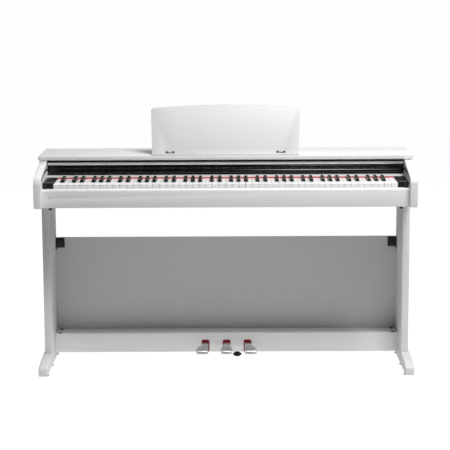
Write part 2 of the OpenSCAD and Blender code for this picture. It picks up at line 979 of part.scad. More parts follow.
// A lever with a level neck and a broad nose that sweeps down; its reach differs to left and right
module pedal(x, left, right) {
    neck = neck_w / 2;
    tip = box_y - pedal_out;
    wide = tip + 20;
    start = box_y - 4;
    steps = 8;
    nose = 12;
    back = pedal_y + 4;
    high = pedal_high;
    low = high - pedal_t;
    nose_r = 13;
    right_edge = [for (i = [0 : steps])
        [x + neck + (right - neck) * smooth(i / steps), start + (wide - start) * i / steps]];
    left_edge = [for (i = [0 : steps])
        [x - neck - (left - neck) * smooth(1 - i / steps), wide + (start - wide) * i / steps]];
    difference() {
        union() {
            intersection() {
                translate([0, 0, low - 10 - pedal_drop])
                    linear_extrude(pedal_t + pedal_drop + 20)
                        polygon(concat(
                            [[x + neck, back]],
                            right_edge,
                            arc(x + right - nose, tip + nose, nose, 0, -90, 6),
                            arc(x - left + nose, tip + nose, nose, -90, -180, 6),
                            left_edge,
                            [[x - neck, back]]
                        ));
                along_x(x - left - cut, left + right + 2 * cut)
                    polygon(concat(
                        [[back, low], [back, high]],
                        [for (i = [0 : steps])
                            [start + (wide - start) * i / steps, high - pedal_drop * smooth(i / steps)]],
                        arc(tip + nose_r, high - pedal_drop - nose_r, nose_r, 90, 180, 8),
                        [[tip + 3, low - pedal_drop - 3], [wide, low - pedal_drop], [start, low]]
                    ));
            }
            rod_x(x - neck, x + neck, pedal_y, pedal_z, hub_r);
        }
        rod_x(x - neck - cut, x + neck + cut, pedal_y, pedal_z, shaft_r + fit);
    }
}

module soft_pedal() {
    color("silver")
        pedal(-pedal_pitch, 34.5, 11.5);
}

module sostenuto_pedal() {
    color("silver")
        pedal(0, 21, 21);
}

module damper_pedal() {
    color("silver")
        pedal(pedal_pitch, 11.5, 34.5);
}

module level_adjuster() {
    color("black")
        translate([leveller_x, leveller_y, 0])
            rotate_extrude()
                polygon([
                    [0, 0], [leveller_r - 7, 0], [leveller_r, 6], [leveller_r, 9],
                    [thread_r + 3, 16], [thread_r, 17], [thread_r, 58], [0, 58]
                ]);
}

left_cheek();
right_cheek();
top_board();
key_bed();
front_rail();
key_slip();
rear_cover();
name_strip();
felt_strip();
end_blocks();
cover_bumpers();
cover_rails();
power_lamp();
key_frame();
key_pivot_rod();
main_board();
speakers();
rest_ledge();
rest_hinges();
left_leg();
right_leg();
left_foot();
right_foot();
foot_glides();
back_panel();
corner_brackets();
pedal_box_front();
pedal_box_top();
pedal_slot_felts();
pedal_base();
pedal_shaft();
cam_caps();
cover_shoes();
cover_panel();
cover_lip();
cover_rear_shaft();
volume_knob();
power_button();
rest_panel();
rest_strut();
soft_pedal();
sostenuto_pedal();
damper_pedal();
level_adjuster();
white_keys_low();
black_keys_low();
key_c4();
key_c_sharp_4();
key_d4();
key_d_sharp_4();
key_e4();
key_f4();
key_f_sharp_4();
key_g4();
key_g_sharp_4();
key_a4();
key_a_sharp_4();
key_b4();
white_keys_high();
black_keys_high();
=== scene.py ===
import json
import random
from math import atan2, cos, pi, radians, sin

import bmesh
import bpy
from mathutils import Matrix, Vector


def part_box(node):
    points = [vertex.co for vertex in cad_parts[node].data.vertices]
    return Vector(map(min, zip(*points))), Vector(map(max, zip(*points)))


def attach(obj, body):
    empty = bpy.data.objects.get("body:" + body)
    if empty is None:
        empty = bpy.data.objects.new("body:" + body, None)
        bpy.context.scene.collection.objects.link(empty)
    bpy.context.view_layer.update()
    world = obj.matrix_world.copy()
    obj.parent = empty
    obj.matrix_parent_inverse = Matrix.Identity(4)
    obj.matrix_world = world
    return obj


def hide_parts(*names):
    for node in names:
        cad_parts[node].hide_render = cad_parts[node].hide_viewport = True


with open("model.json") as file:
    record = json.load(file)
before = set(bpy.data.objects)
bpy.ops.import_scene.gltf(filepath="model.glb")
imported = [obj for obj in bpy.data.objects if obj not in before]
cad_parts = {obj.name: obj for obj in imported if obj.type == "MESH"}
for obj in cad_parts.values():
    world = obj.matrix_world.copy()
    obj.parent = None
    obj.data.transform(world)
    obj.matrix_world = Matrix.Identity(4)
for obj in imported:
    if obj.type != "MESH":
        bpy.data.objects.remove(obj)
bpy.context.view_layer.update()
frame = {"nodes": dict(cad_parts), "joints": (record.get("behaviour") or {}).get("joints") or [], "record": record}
nodes = frame["nodes"]
joints = {joint["name"]: joint for joint in frame["joints"]}
mm = 0.001
# points closer than this become one
weld = dict(finished=0.001 * mm, copied=0.002 * mm, turned=0.0005 * mm, outline=0.01 * mm,
            cut=0.0001 * mm)
flatAngle = 0.5  # degrees between two triangles of one flat face


# shader maths
class Wire:
    # a socket that can be used in sums
    def __init__(self, tree, socket):
        self.tree = tree
        self.socket = socket

    def sum(self, operation, first, second):
        made = self.tree.nodes.new("ShaderNodeMath")
        made.operation = operation
        for place, item in zip(made.inputs, (first, second)):
            if isinstance(item, Wire):
                self.tree.links.new(item.socket, place)
            else:
                place.default_value = item
        return Wire(self.tree, made.outputs[0])

    def __add__(self, other): return self.sum("ADD", self, other)
    def __radd__(self, other): return self.sum("ADD", other, self)
    def __sub__(self, other): return self.sum("SUBTRACT", self, other)
    def __rsub__(self, other): return self.sum("SUBTRACT", other, self)
    def __mul__(self, other): return self.sum("MULTIPLY", self, other)
    def __rmul__(self, other): return self.sum("MULTIPLY", other, self)


class Finish:
    # one procedural material
    def __init__(self, name, colour, roughness, **constants):
        self.material = bpy.data.materials.new(name)
        self.material.use_nodes = True
        self.material.diffuse_color = (*colour, 1)
        self.tree = self.material.node_tree
        self.surface = self.tree.nodes["Principled BSDF"]
        self.feed("Base Color", (*colour, 1))
        self.feed("Roughness", roughness)
        for key, value in constants.items():
            self.feed(key.replace("_", " "), value)

    def put(self, place, value):
        if isinstance(value, Wire):
            self.tree.links.new(value.socket, place)
        else:
            place.default_value = value

    def feed(self, key, value):
        self.put(self.surface.inputs[key], value)

    # any node: its settings first, then its sockets by name or number
    def node(self, kind, settings, sockets, output=0):
        made = self.tree.nodes.new("ShaderNode" + kind)
        for key, value in settings.items():
            if key == "stops":
                ramp = made.color_ramp
                for stop, place in zip(ramp.elements, value):
                    stop.position = place
            else:
                setattr(made, key, value)
        for key, value in sockets.items():
            self.put(made.inputs[key], value)
        return Wire(self.tree, made.outputs[output])

    # noise in metres: size is the grain along X, Y and Z
    def noise(self, size, detail=3.0, distortion=0.0):
        spot = self.node("TexCoord", {}, {}, "Object")
        scaled = self.node("Mapping", {}, {"Vector": spot, "Scale": [1 / s for s in size]})
        return self.node("TexNoise", {}, {"Vector": scaled, "Scale": 1.0, "Detail": detail,
                                          "Distortion": distortion})

    # 0 below the first level, 1 above the second
    def step(self, value, low, high):
        return self.node("ValToRGB", {"stops": (low, high)}, {"Fac": value})

    def mix(self, factor, first, second):
        return self.node("Mix", {"data_type": "RGBA"},
                         {0: factor, 6: (*first, 1), 7: (*second, 1)}, 2)

    def bump(self, height, depth):
        self.feed("Normal", self.node("Bump", {}, {"Height": height, "Distance": depth}))


# white laminate with a fine embossed wood grain; grain names the long direction; the last argument scales its tone
# up or down as painted light or shade
laminateLook = dict(light=(0.80, 0.80, 0.79), dark=(0.775, 0.776, 0.77),
                    length=0.06, pore=0.0024, depth=0.00006, roughness=0.42)


def laminate(name, grain, paintedLightScale=1.0):
    look = laminateLook
    tone = [tuple(c * paintedLightScale for c in look[key]) for key in ("dark", "light")]
    f = Finish(name, tone[1], look["roughness"], Specular_IOR_Level=0.42)
    size = [look["length"] if axis == grain else look["pore"] for axis in "xyz"]
    wide = [s * 4 for s in size]
    pores = f.noise(size, 3.0, 0.2)
    figure = f.noise(wide, 2.0, 0.8)
    grainMap = pores * 0.75 + figure * 0.25
    f.feed("Base Color", f.mix(f.step(grainMap, 0.36, 0.56), *tone))
    f.feed("Roughness", pores * 0.22 + (look["roughness"] - 0.08))
    f.bump(grainMap, look["depth"])
    return f.material


# plain moulded plastic; grit is the size of its fine texture, patch how uneven its gloss is
def plastic(name, colour, roughness, grit=0.0008, depth=0.00006, spread=0.12, patch=1.0, **constants):
    f = Finish(name, colour, roughness, **constants)
    fine = f.noise((grit, grit, grit), 2.0)
    cloud = f.noise((0.06, 0.06, 0.06), 2.0)
    pale = tuple(c * (1 + spread) for c in colour)
    deep = tuple(c * (1 - spread) for c in colour)
    f.feed("Base Color", f.mix(cloud, deep, pale))
    f.feed("Roughness", (fine * 0.10 + cloud * 0.08 - 0.09) * patch + roughness)
    f.bump(fine, depth)
    return f.material


def felt(name, colour):
    f = Finish(name, colour, 0.95, Sheen_Weight=0.5, Sheen_Roughness=0.5, Specular_IOR_Level=0.15)
    hair = f.noise((0.0012, 0.0005, 0.0005), 4.0, 1.5)
    clump = f.noise((0.008, 0.008, 0.008), 3.0)
    f.feed("Base Color", f.mix(hair * 0.6 + clump * 0.4, tuple(c * 0.6 for c in colour),
                               tuple(c * 1.35 for c in colour)))
    f.bump(hair + clump, 0.0004)
    return f.material


def metal(name, colour, roughness, brush, **constants):
    f = Finish(name, colour, roughness, Metallic=1.0, **constants)
    lines = f.noise(brush, 3.0)
    haze = f.noise((0.03, 0.03, 0.03), 3.0)
    f.feed("Base Color", f.mix(haze, tuple(c * 0.86 for c in colour), colour))
    f.feed("Roughness", lines * 0.10 + haze * 0.12 + (roughness - 0.08))
    f.bump(lines, 0.00001)
    return f.material


def ivory():
    # a weak white glow lifts the keys' brightness: painted light
    f = Finish("keyWhite", (0.94, 0.94, 0.93), 0.34, Coat_Weight=0.12, Coat_Roughness=0.3,
               Emission_Color=(1, 1, 1, 1), Emission_Strength=0.05)
    cloud = f.noise((0.05, 0.09, 0.05), 2.0)
    touch = f.noise((0.009, 0.02, 0.009), 3.0)
    # the sides of each key, down in the gaps, are painted dark as the shade between keys; the polished top stays
    # white
    aside = f.node("SeparateXYZ", {}, {0: f.node("TexCoord", {}, {}, "Normal")})
    paintedGapShade = f.step(f.node("Math", {"operation": "ABSOLUTE"}, {0: aside}), 0.15, 0.50)
    f.feed("Base Color", f.mix(cloud * 0.04 + paintedGapShade, (0.96, 0.96, 0.955), (0.06, 0.06, 0.058)))
    f.feed("Roughness", touch * 0.14 + 0.28)
    f.bump(touch, 0.00002)
    return f.material


def lampLens():
    f = Finish("redLens", (0.75, 0.03, 0.03), 0.12, Coat_Weight=0.6, Emission_Strength=0.10)
    spot = f.noise((0.0015, 0.0015, 0.0015), 1.0)
    f.feed("Emission Color", f.mix(spot, (0.55, 0.01, 0.01), (1.0, 0.10, 0.08)))
    f.feed("Base Color", f.mix(spot, (0.5, 0.01, 0.01), (0.8, 0.06, 0.05)))
    return f.material


def circuit():
    f = Finish("circuit", (0.02, 0.16, 0.07), 0.35, Coat_Weight=0.4)
    tracks = f.noise((0.004, 0.03, 0.004), 1.0)
    f.feed("Base Color", f.mix(f.step(tracks, 0.48, 0.52), (0.015, 0.12, 0.05), (0.03, 0.24, 0.10)))
    f.bump(f.step(tracks, 0.48, 0.52), 0.00005)
    return f.material


whiteX = laminate("whiteAlongX", "x")
# lit and shaded copies of one laminate: the top board and the pedal box front are painted lighter as light; the
# music rest, back panel and pedal box top are painted darker as shade
topWhiteLit = laminate("topWhiteLit", "x", 1.08)
restWhiteShaded = laminate("restWhiteShaded", "x", 0.90)
panelWhiteShaded = laminate("panelWhiteShaded", "x", 0.95)
boxFrontWhiteLit = laminate("boxFrontWhiteLit", "x", 1.18)
boxTopWhiteShaded = laminate("boxTopWhiteShaded", "x", 0.86)
whiteY = laminate("whiteAlongY", "y")
whiteZ = laminate("whiteAlongZ", "z")
# the key slip's white glows weakly: painted light
slipWhiteGlowing = plastic("slipWhiteGlowing", (0.93, 0.93, 0.92), 0.30, depth=0.00002, spread=0.02,
                    Emission_Color=(1, 1, 1, 1), Emission_Strength=0.10)
stripGray = plastic("stripGray", (0.60, 0.595, 0.58), 0.45, spread=0.03)
blockBlack = plastic("blockBlack", (0.011, 0.011, 0.012), 0.50, 0.0011, 0.00012,
                     Specular_IOR_Level=0.2)
mouldBlack = plastic("mouldBlack", (0.009, 0.009, 0.010), 0.48, 0.0010, 0.00010)
rubberBlack = plastic("rubberBlack", (0.014, 0.014, 0.014), 0.75, 0.0006, 0.00005)
glossBlack = plastic("glossBlack", (0.0030, 0.0030, 0.0033), 0.20, 0.05, 0.0000005, 0.1, 0.15,
                     Specular_IOR_Level=0.35, Coat_Weight=0.15, Coat_Roughness=0.12)
keyWhite = ivory()
keyBlack = plastic("keyBlack", (0.010, 0.010, 0.011), 0.30, 0.0012, 0.00004, Coat_Weight=0.3,
                   Coat_Roughness=0.25)
feltRed = felt("feltRed", (0.72, 0.018, 0.018))
feltDeep = felt("feltDeep", (0.30, 0.010, 0.010))
glideGray = felt("glideGray", (0.36, 0.36, 0.36))
chrome = metal("chrome", (0.76, 0.76, 0.77), 0.34, (0.0006, 0.012, 0.0006))
# this silver glows weakly: painted light for the cover's bright front edge
trimSilverGlowing = metal("trimSilverGlowing", (0.95, 0.95, 0.94), 0.42, (0.02, 0.0008, 0.0008),
                   Emission_Color=(1, 1, 1, 1), Emission_Strength=0.16)
zinc = metal("zinc", (0.55, 0.56, 0.57), 0.38, (0.02, 0.0008, 0.0008))
paperBlack = plastic("paperBlack", (0.020, 0.019, 0.018), 0.85, 0.0015, 0.00020)
redLens = lampLens()
boardGreen = circuit()
inkWhite = plastic("markWhite", (0.75, 0.75, 0.74), 0.5, depth=0.00001)
print("materials made")


# puts a finished bmesh on a body, with its finish and the CAD nodes it stands for
def piece(bm, name, body, finish, replaced=(), smooth=38):
    bmesh.ops.remove_doubles(bm, verts=bm.verts, dist=weld["finished"])
    mesh = bpy.data.meshes.new(name)
    bm.to_mesh(mesh)
    bm.free()
    mesh.polygons.foreach_set("use_smooth", [True] * len(mesh.polygons))
    mesh.set_sharp_from_angle(angle=radians(smooth))
    mesh.materials.append(finish)
    made = bpy.data.objects.new(name, mesh)
    bpy.context.scene.collection.objects.link(made)
    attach(made, body)
    if replaced:
        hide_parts(*replaced)
    return made


# edges that turn more than the given angle
def corners(bm, angle):
    return [e for e in bm.edges if e.is_manifold and e.calc_face_angle(0.0) > radians(angle)]


# edges rounded by a width in mm
def rounded(bm, edges, width, steps=2):
    bmesh.ops.bevel(bm, geom=edges, offset=width * mm, offset_type="OFFSET", segments=steps,
                    profile=0.5, affect="EDGES", clamp_overlap=True, material=-1)


def vertsOf(geometry):
    return [g for g in geometry if isinstance(g, bmesh.types.BMVert)]


# a box of the given size about the origin
def block(size):
    bm = bmesh.new()
    bmesh.ops.create_cube(bm, size=1.0)
    bmesh.ops.scale(bm, vec=size, verts=bm.verts)
    return bm


# a copy of a CAD node as whole faces with rounded edges
def softened(node, width, steps=2, angle=28):
    bm = bmesh.new()
    bm.from_mesh(nodes[node].data)
    bmesh.ops.remove_doubles(bm, verts=bm.verts, dist=weld["copied"])
    bmesh.ops.dissolve_limit(bm, angle_limit=radians(flatAngle), use_dissolve_boundaries=False,
                             verts=bm.verts, edges=bm.edges)
    rounded(bm, corners(bm, angle), width, steps)
    return bm


bodyOf = {node: body for body, members in frame["record"]["behaviour"]["bodies"].items()
          for node in members}
slotOf = {part["node"]: part["material_slot"] for part in frame["record"]["subparts"]}


def soften(node, finish, width, steps=2, angle=28, smooth=38):
    return piece(softened(node, width, steps, angle), node.replace("_", "-"), bodyOf[node],
                 finish, [node], smooth)


# moves a bmesh from its own axes, with its front along +Z, to a place facing a direction
def facing(bm, place, direction, turn=0.0):
    aim = Vector(direction).to_track_quat("Z", "Y").to_matrix().to_4x4()
    bm.transform(Matrix.Translation(place) @ aim @ Matrix.Rotation(turn, 4, "Z"))


# a solid of revolution about Z from (radius, height) points
def turned(profile, steps=32):
    bm = bmesh.new()
    line = [bm.verts.new((r, 0, z)) for r, z in profile]
    edges = [bm.edges.new(pair) for pair in zip(line, line[1:])]
    bmesh.ops.spin(bm, geom=line + edges, cent=(0, 0, 0), axis=(0, 0, 1), angle=2 * pi,
                   steps=steps, use_merge=True, use_duplicate=False)
    bmesh.ops.remove_doubles(bm, verts=bm.verts, dist=weld["turned"])
    bmesh.ops.dissolve_degenerate(bm, edges=bm.edges, dist=weld["turned"])
    bmesh.ops.recalc_face_normals(bm, faces=bm.faces)
    return bm


# several bmeshes added into one
def gather(parts):
    whole = bmesh.new()
    for part in parts:
        mesh = bpy.data.meshes.new("part")
        part.to_mesh(mesh)
        part.free()
        whole.from_mesh(mesh)
        bpy.data.meshes.remove(mesh)
    return whole


# boards
# the top board and pedal box front take painted-light copies of the laminate; the rest, back panel and pedal box
# top take painted-shade copies
boards = {
    "top_board": (topWhiteLit, 2.0, 3), "key_bed": (whiteX, 0.8, 2), "front_rail": (whiteX, 1.2, 3),
    "rear_cover": (whiteX, 0.8, 2), "back_panel": (panelWhiteShaded, 0.8, 2),
    "pedal_box_front": (boxFrontWhiteLit, 1.2, 3), "pedal_box_top": (boxTopWhiteShaded, 1.0, 2),
    "cover_panel": (whiteX, 0.9, 3),
    "rest_panel": (restWhiteShaded, 1.4, 3), "rest_ledge": (restWhiteShaded, 0.8, 2),
    "left_cheek": (whiteY, 1.8, 3), "right_cheek": (whiteY, 1.8, 3),
    "left_leg": (whiteZ, 1.4, 3), "right_leg": (whiteZ, 1.4, 3),
    "left_foot": (whiteY, 4.0, 4), "right_foot": (whiteY, 4.0, 4),
}
for board, (finish, width, steps) in boards.items():
    soften(board, finish, width, steps)
print("boards made")

# trim
trim = {
    "key_slip": (slipWhiteGlowing, 0.6, 2), "name_strip": (stripGray, 0.6, 2),
    "end_blocks": (blockBlack, 1.2, 3), "cover_bumpers": (rubberBlack, 0.8, 3),
    "corner_brackets": (mouldBlack, 0.8, 2), "cam_caps": (mouldBlack, 0.9, 3),
    "cover_shoes": (mouldBlack, 0.6, 2), "cover_rails": (mouldBlack, 0.8, 2),
    "rest_hinges": (mouldBlack, 0.5, 2), "rest_strut": (mouldBlack, 0.8, 2),
    "foot_glides": (glideGray, 0.5, 2), "pedal_slot_felts": (feltDeep, 0.9, 3),
    "pedal_base": (zinc, 0.3, 2), "pedal_shaft": (zinc, 0.5, 2), "key_frame": (zinc, 0.4, 2),
    "key_pivot_rod": (zinc, 0.5, 2), "cover_rear_shaft": (zinc, 0.5, 2),
    "main_board": (boardGreen, 0.2, 2), "speakers": (paperBlack, 0.3, 2),
}
for node, (finish, width, steps) in trim.items():
    soften(node, finish, width, steps)

# keys
whiteKeys = [n for n in nodes if slotOf[n] == "key_white"]
blackKeys = [n for n in nodes if slotOf[n] == "key_black"]
whiteKey = dict(edge=1.0, lip=3.0, under=0.6, back=0.5, face=1.3)
blackKey = dict(width=1.1, steps=3)


# a white key's top stands a little proud of the front face below it
def whiteKeyPiece(node):
    bm = softened(node, whiteKey["edge"], 3)
    low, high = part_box(node)
    for drop in (whiteKey["lip"], whiteKey["lip"] + whiteKey["under"]):
        bmesh.ops.bisect_plane(bm, geom=bm.verts[:] + bm.edges[:] + bm.faces[:], dist=weld["cut"],
                               plane_co=(0, 0, high.z - drop * mm), plane_no=(0, 0, 1))
    under = high.z - (whiteKey["lip"] + whiteKey["under"] / 2) * mm
    for vert in bm.verts:
        if vert.co.z < under and vert.co.y < low.y + whiteKey["face"] * mm:
            vert.co.y += whiteKey["back"] * mm
    piece(bm, node.replace("_", "-"), bodyOf[node], keyWhite, [node])


for node in whiteKeys:
    whiteKeyPiece(node)
for node in blackKeys:
    soften(node, keyBlack, **blackKey)
print("keys made")

# pedals
pedal = dict(width=2.6, steps=5, angle=24, smooth=60)
for node in ("soft_pedal", "sostenuto_pedal", "damper_pedal"):
    soften(node, chrome, **pedal)
print("pedals made")

# key cover lip: two polished beads along a bar; turn, lowerStart and square are degrees
lip = dict(steps=14, turn=140, lowerStart=130, edge=0.8, square=80)


def coverLip():
    low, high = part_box("cover_lip")
    radius = (high.z - low.z) / 4
    centre = low.y + radius
    bm = bmesh.new()
    loop = [bm.verts.new((low.x, high.y, low.z + radius)), bm.verts.new((low.x, high.y, high.z))]
    line = [bm.edges.new(loop)]
    tip = bm.verts.new((low.x, centre, high.z))
    line.append(bm.edges.new((loop[1], tip)))
    for bead, start in ((1, 90), (0, lip["lowerStart"])):
        middle = Vector((low.x, centre, low.z + radius * (1 + 2 * bead)))
        place = middle + Vector((0, cos(radians(start)), sin(radians(start)))) * radius
        first = bm.verts.new(place)
        line.append(bm.edges.new((tip, first)))
        arc = bmesh.ops.spin(bm, geom=[first], cent=middle, axis=(1, 0, 0),
                             angle=radians(lip["turn"]), steps=lip["steps"],
                             use_merge=False, use_duplicate=False)
        tip = vertsOf(arc["geom_last"])[0]
    line.append(bm.edges.new((tip, loop[0])))
    bmesh.ops.remove_doubles(bm, verts=bm.verts, dist=weld["outline"])
    face = bmesh.ops.contextual_create(bm, geom=bm.edges[:])["faces"]
    body = bmesh.ops.extrude_face_region(bm, geom=face)
    moved = vertsOf(body["geom"])
    bmesh.ops.translate(bm, verts=moved, vec=(high.x - low.x, 0, 0))
    bmesh.ops.recalc_face_normals(bm, faces=bm.faces)
    ends = [e for e in corners(bm, lip["square"]) if abs(e.verts[0].co.x - e.verts[1].co.x) < mm]
    rounded(bm, ends, lip["edge"])
    piece(bm, "coverLip", "cover", glossBlack, ["cover_lip"], 50)


coverLip()

edgeStrip = dict(top=1.7, bottom=0.3, inset=0.5, ends=1.0, edge=0.2)


# a bright strip on the front edge of the cover, leaning a little towards the keys; its silver glows weakly,
# painted light that keeps the edge bright
def coverEdge():
    low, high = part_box("cover_panel")
    foot, head = low.z + edgeStrip["inset"] * mm, high.z - edgeStrip["inset"] * mm
    outline = [(low.y, foot), (low.y - edgeStrip["bottom"] * mm, foot),
               (low.y - edgeStrip["top"] * mm, head), (low.y, head)]
    bm = bmesh.new()
    start = low.x + edgeStrip["ends"] * mm
    face = bmesh.ops.contextual_create(bm, geom=[bm.verts.new((start, y, z)) for y, z in outline])
    bar = bmesh.ops.extrude_face_region(bm, geom=face["faces"])
    moved = vertsOf(bar["geom"])
    bmesh.ops.translate(bm, verts=moved, vec=(high.x - low.x - 2 * edgeStrip["ends"] * mm, 0, 0))
    bmesh.ops.recalc_face_normals(bm, faces=bm.faces)
    front = [e for e in bm.edges if all(v.co.y < low.y - edgeStrip["bottom"] / 2 * mm for v in e.verts)]
    rounded(bm, front, edgeStrip["edge"])
    piece(bm, "coverEdge", "cover", trimSilverGlowing)


coverEdge()

# felt behind the keys
feltEdge = dict(edge=0.9, spacing=0.004, fluff=0.00018)


def feltStrip():
    low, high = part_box("felt_strip")
    middle = (low + high) / 2
    size = high - low
    bm = block(size)
    bmesh.ops.translate(bm, vec=middle, verts=bm.verts)
    rounded(bm, bm.edges[:], feltEdge["edge"], 3)
    long = [e for e in bm.edges if abs(e.verts[0].co.x - e.verts[1].co.x) > size.x / 2]
    bmesh.ops.subdivide_edges(bm, edges=long, cuts=int(size.x / feltEdge["spacing"]))
    luck = random.Random(4)
    for vert in bm.verts:
        away = (vert.co - middle) * Vector((0, 1, 1))
        vert.co -= away.normalized() * feltEdge["fluff"] * luck.random()
    piece(bm, "feltStrip", "cabinet", feltRed, ["felt_strip"], 60)


feltStrip()

# the middle and the size of a node
def centre(node):
    low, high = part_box(node)
    return (low + high) / 2, high - low


# power lamp: a low dome in a thin ring
indicator = dict(bulge=0.4, ring=0.7, sunk=0.8, proud=0.25, crest=0.45, steps=28)


def powerLamp():
    place, size = centre("power_lamp")
    radius = size.x / 2
    dome = [(radius * cos(a), size.y / 2 - radius * indicator["bulge"] * (1 - sin(a)))
            for a in (radians(d) for d in range(0, 91, 15))]
    bm = turned([(0, -size.y / 2), (radius, -size.y / 2)] + dome[:-1] + [(0, size.y / 2)],
                indicator["steps"])
    facing(bm, place, (0, -1, 0))
    piece(bm, "powerLamp", "cabinet", redLens, ["power_lamp"], 50)
    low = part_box("front_rail")[0]
    wide, sunk, proud, crest = (indicator[key] * mm for key in ("ring", "sunk", "proud", "crest"))
    ring = turned([(radius, -sunk), (radius + wide, -sunk), (radius + wide, proud),
                   (radius + wide / 2, crest), (radius, proud), (radius, -sunk)], indicator["steps"])
    facing(ring, (place.x, low.y, place.z), (0, -1, 0))
    # the ring uses the same weakly glowing white as the key slip: painted light
    piece(ring, "lampRing", "cabinet", slipWhiteGlowing, smooth=50)


powerLamp()

# knob and button: a crown goes in from the side and down from the top, in mm; a dish is its hollow
knob = dict(ribs=30, rib=0.35, taper=0.94, clear=0.3, crown=((0, 1.0), (0.4, 0.3), (1.2, 0)), dish=0.35)
knobMark = dict(wide=0.9, long=0.62, high=0.3, edge=0.1, out=0.5, sunk=0.2)
button = dict(crown=((0, 0.7), (0.25, 0.2), (0.8, 0), (1.5, 0.15)), dish=0.6, steps=36)


def crowned(radius, top, look):
    rim = [(radius - inward * mm, top - down * mm) for inward, down in look["crown"]]
    return rim + [(0, top - look["dish"] * mm)]


def volumeKnob():
    place, size = centre("volume_knob")
    low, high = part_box("volume_knob")
    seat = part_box("end_blocks")[1].z
    radius = size.x / 2 - knob["rib"] * mm
    stem = radius / 2
    skirt = seat + knob["clear"] * mm
    cap = turned([(0, low.z), (stem, low.z), (stem, skirt), (radius, skirt)]
                 + crowned(radius, high.z, knob), knob["ribs"] * 2)
    sides = [f for f in cap.faces if abs(f.normal.z) < 0.2
             and Vector(f.calc_center_median()[:2]).length > radius * 0.9]
    sides.sort(key=lambda f: Vector((1, 0)).angle_signed(Vector(f.calc_center_median()[:2]), 0))
    ribs = bmesh.ops.extrude_discrete_faces(cap, faces=sides[::2])["faces"]
    for rib in ribs:
        out = rib.normal.copy()
        bmesh.ops.translate(cap, verts=rib.verts, vec=out * knob["rib"] * mm)
        bmesh.ops.scale(cap, verts=rib.verts, vec=(1, 1, knob["taper"]),
                        space=Matrix.Translation(-rib.calc_center_median()))
    bmesh.ops.translate(cap, verts=cap.verts, vec=(place.x, place.y, 0))
    piece(cap, "volumeKnob", "volume_knob", mouldBlack, ["volume_knob"], 30)
    mark = block((knobMark["wide"] * mm, radius * knobMark["long"], knobMark["high"] * mm))
    rounded(mark, mark.edges[:], knobMark["edge"])
    bmesh.ops.translate(mark, vec=(place.x, place.y - radius * knobMark["out"],
                                   high.z - knobMark["sunk"] * mm), verts=mark.verts)
    piece(mark, "knobMark", "volume_knob", inkWhite)


volumeKnob()


def powerButton():
    place, size = centre("power_button")
    low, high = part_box("power_button")
    radius = size.x / 2
    cap = turned([(0, low.z), (radius, low.z)] + crowned(radius, high.z, button), button["steps"])
    bmesh.ops.translate(cap, verts=cap.verts, vec=(place.x, place.y, 0))
    piece(cap, "powerButton", "power_button", mouldBlack, ["power_button"])


powerButton()

# levelling knob, in mm; wheel: in from the rim, and height; hub: radius, and height
leveller = dict(lobes=14, bite=1.1, stem=5, tip=(0.8, 1),
                wheel=((7, 0), (2.4, 3.4), (0.4, 5.6), (0, 6.4), (0, 8.4), (0.6, 9.4), (5, 12.4)),
                hub=((8, 15.4), (6.4, 16.8), (5, 17)))


def levelKnob():
    place, size = centre("level_adjuster")
    low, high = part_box("level_adjuster")
    radius = size.x / 2
    stem = leveller["stem"]
    narrow, short = leveller["tip"]
    rim = [(radius - inward * mm, height * mm) for inward, height in leveller["wheel"]]
    hub = [(r * mm, height * mm) for r, height in leveller["hub"]]
    tip = [(stem * mm, high.z - short * mm), ((stem - narrow) * mm, high.z), (0, high.z)]
    wheel = turned([(0, 0)] + rim + hub + tip, leveller["lobes"] * 6)
    for vert in wheel.verts:
        flat = Vector((vert.co.x, vert.co.y))
        if flat.length > radius * 0.8:
            wave = 0.5 - 0.5 * cos(leveller["lobes"] * Vector((1, 0)).angle_signed(flat))
            flat *= 1 - wave * leveller["bite"] * mm / flat.length
            vert.co.x, vert.co.y = flat
    bmesh.ops.translate(wheel, verts=wheel.verts, vec=(place.x, place.y, 0))
    piece(wheel, "levelKnob", "level_adjuster", mouldBlack, ["level_adjuster"])


levelKnob()
print("knobs made")

# screws
screw = dict(radius=3.4, height=1.3, cross=0.55, cells=9, fall=0.45, recess=0.7)


# a pan head with a cross recess, made from a small grid drawn out to a disc
def screwHead(radius, height):
    bm = bmesh.new()
    bmesh.ops.create_grid(bm, x_segments=screw["cells"], y_segments=screw["cells"], size=1.0)
    recess = [f for f in bm.faces if min(abs(c) for c in f.calc_center_median()[:2]) < 0.1
              and max(abs(c) for c in f.calc_center_median()[:2]) < screw["cross"]]
    for vert in bm.verts:
        x, y = vert.co.x, vert.co.y
        vert.co.x = x * (1 - y * y / 2) ** 0.5 * radius
        vert.co.y = y * (1 - x * x / 2) ** 0.5 * radius
        far = (vert.co.x ** 2 + vert.co.y ** 2) ** 0.5 / radius
        vert.co.z = height * (1 - screw["fall"] * far ** 3)
    rim = bmesh.ops.extrude_edge_only(bm, edges=[e for e in bm.edges if e.is_boundary])
    for vert in vertsOf(rim["geom"]):
        vert.co.z = 0
    well = bmesh.ops.extrude_face_region(bm, geom=recess)
    sunk = vertsOf(well["geom"])
    bmesh.ops.translate(bm, verts=sunk, vec=(0, 0, -height * screw["recess"]))
    bmesh.ops.delete(bm, geom=recess, context="FACES_ONLY")
    bmesh.ops.holes_fill(bm, edges=[e for e in bm.edges if e.is_boundary])
    bmesh.ops.recalc_face_normals(bm, faces=bm.faces)
    return bm


def screws(name, places, direction, finish, scale=1.0):
    luck = random.Random(name)
    heads = []
    for place in places:
        head = screwHead(screw["radius"] * scale * mm, screw["height"] * scale * mm)
        facing(head, place, direction, luck.uniform(0, pi / 2))
        heads.append(head)
    piece(gather(heads), name, "cabinet", finish, smooth=35)


def spread(low, high, count):
    return [low + (high - low) * i / (count - 1) for i in range(count)]


# how many columns a board has (cover, panel, bed); the rest are places in mm from a piece's edges
rows = dict(cover=6, panel=7, bed=7, edge=12, bracketIn=22, bracketProud=3, bracketDown=(10, 29),
            seatIn=20, seatBack=17, seatDown=3, bedEnd=90, bedSide=30, footIn=60)


